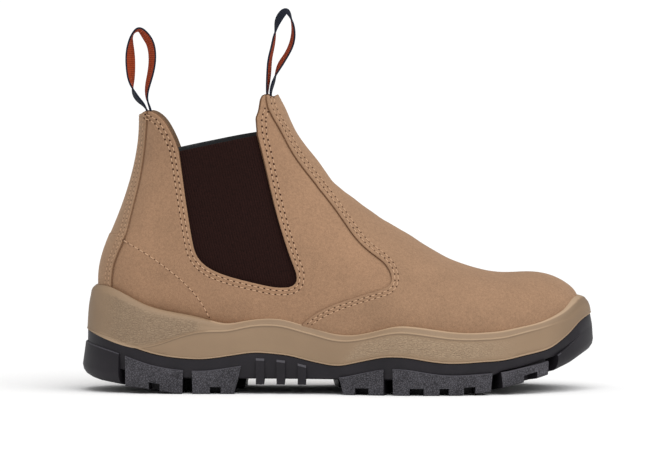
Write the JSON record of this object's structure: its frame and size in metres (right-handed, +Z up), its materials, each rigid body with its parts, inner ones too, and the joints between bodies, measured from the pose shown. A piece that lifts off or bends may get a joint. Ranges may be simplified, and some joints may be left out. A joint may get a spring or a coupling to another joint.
{
  "type": "side gore work boot",
  "caption": "Ankle-height leather work boot with elastic side gores, a webbing pull loop at front and back, a cup midsole and a lugged rubber outsole.",
  "frame": {"origin": "on the floor, in the middle of the boot's length and width", "axes": "+X from heel to toe, +Y to the inner side of the foot, +Z up from the floor"},
  "size_m": [0.3066, 0.1122, 0.2282],
  "materials": {
    "outsole_rubber": "matte moulded rubber with grained lugs",
    "midsole_foam": "matte moulded polyurethane",
    "insole_fabric": "woven top cover",
    "upper_leather": "nubuck, fine nap",
    "gore_elastic": "ribbed elastic",
    "loop_webbing": "woven webbing"
  },
  "bodies": {
    "root": {"outsole": "outsole_rubber", "midsole": "midsole_foam", "insole": "insole_fabric", "upper": "upper_leather", "gore_outer": "gore_elastic", "gore_inner": "gore_elastic", "pull_loop_rear": "loop_webbing", "pull_loop_front": "loop_webbing"}
  },
  "joints": []
}
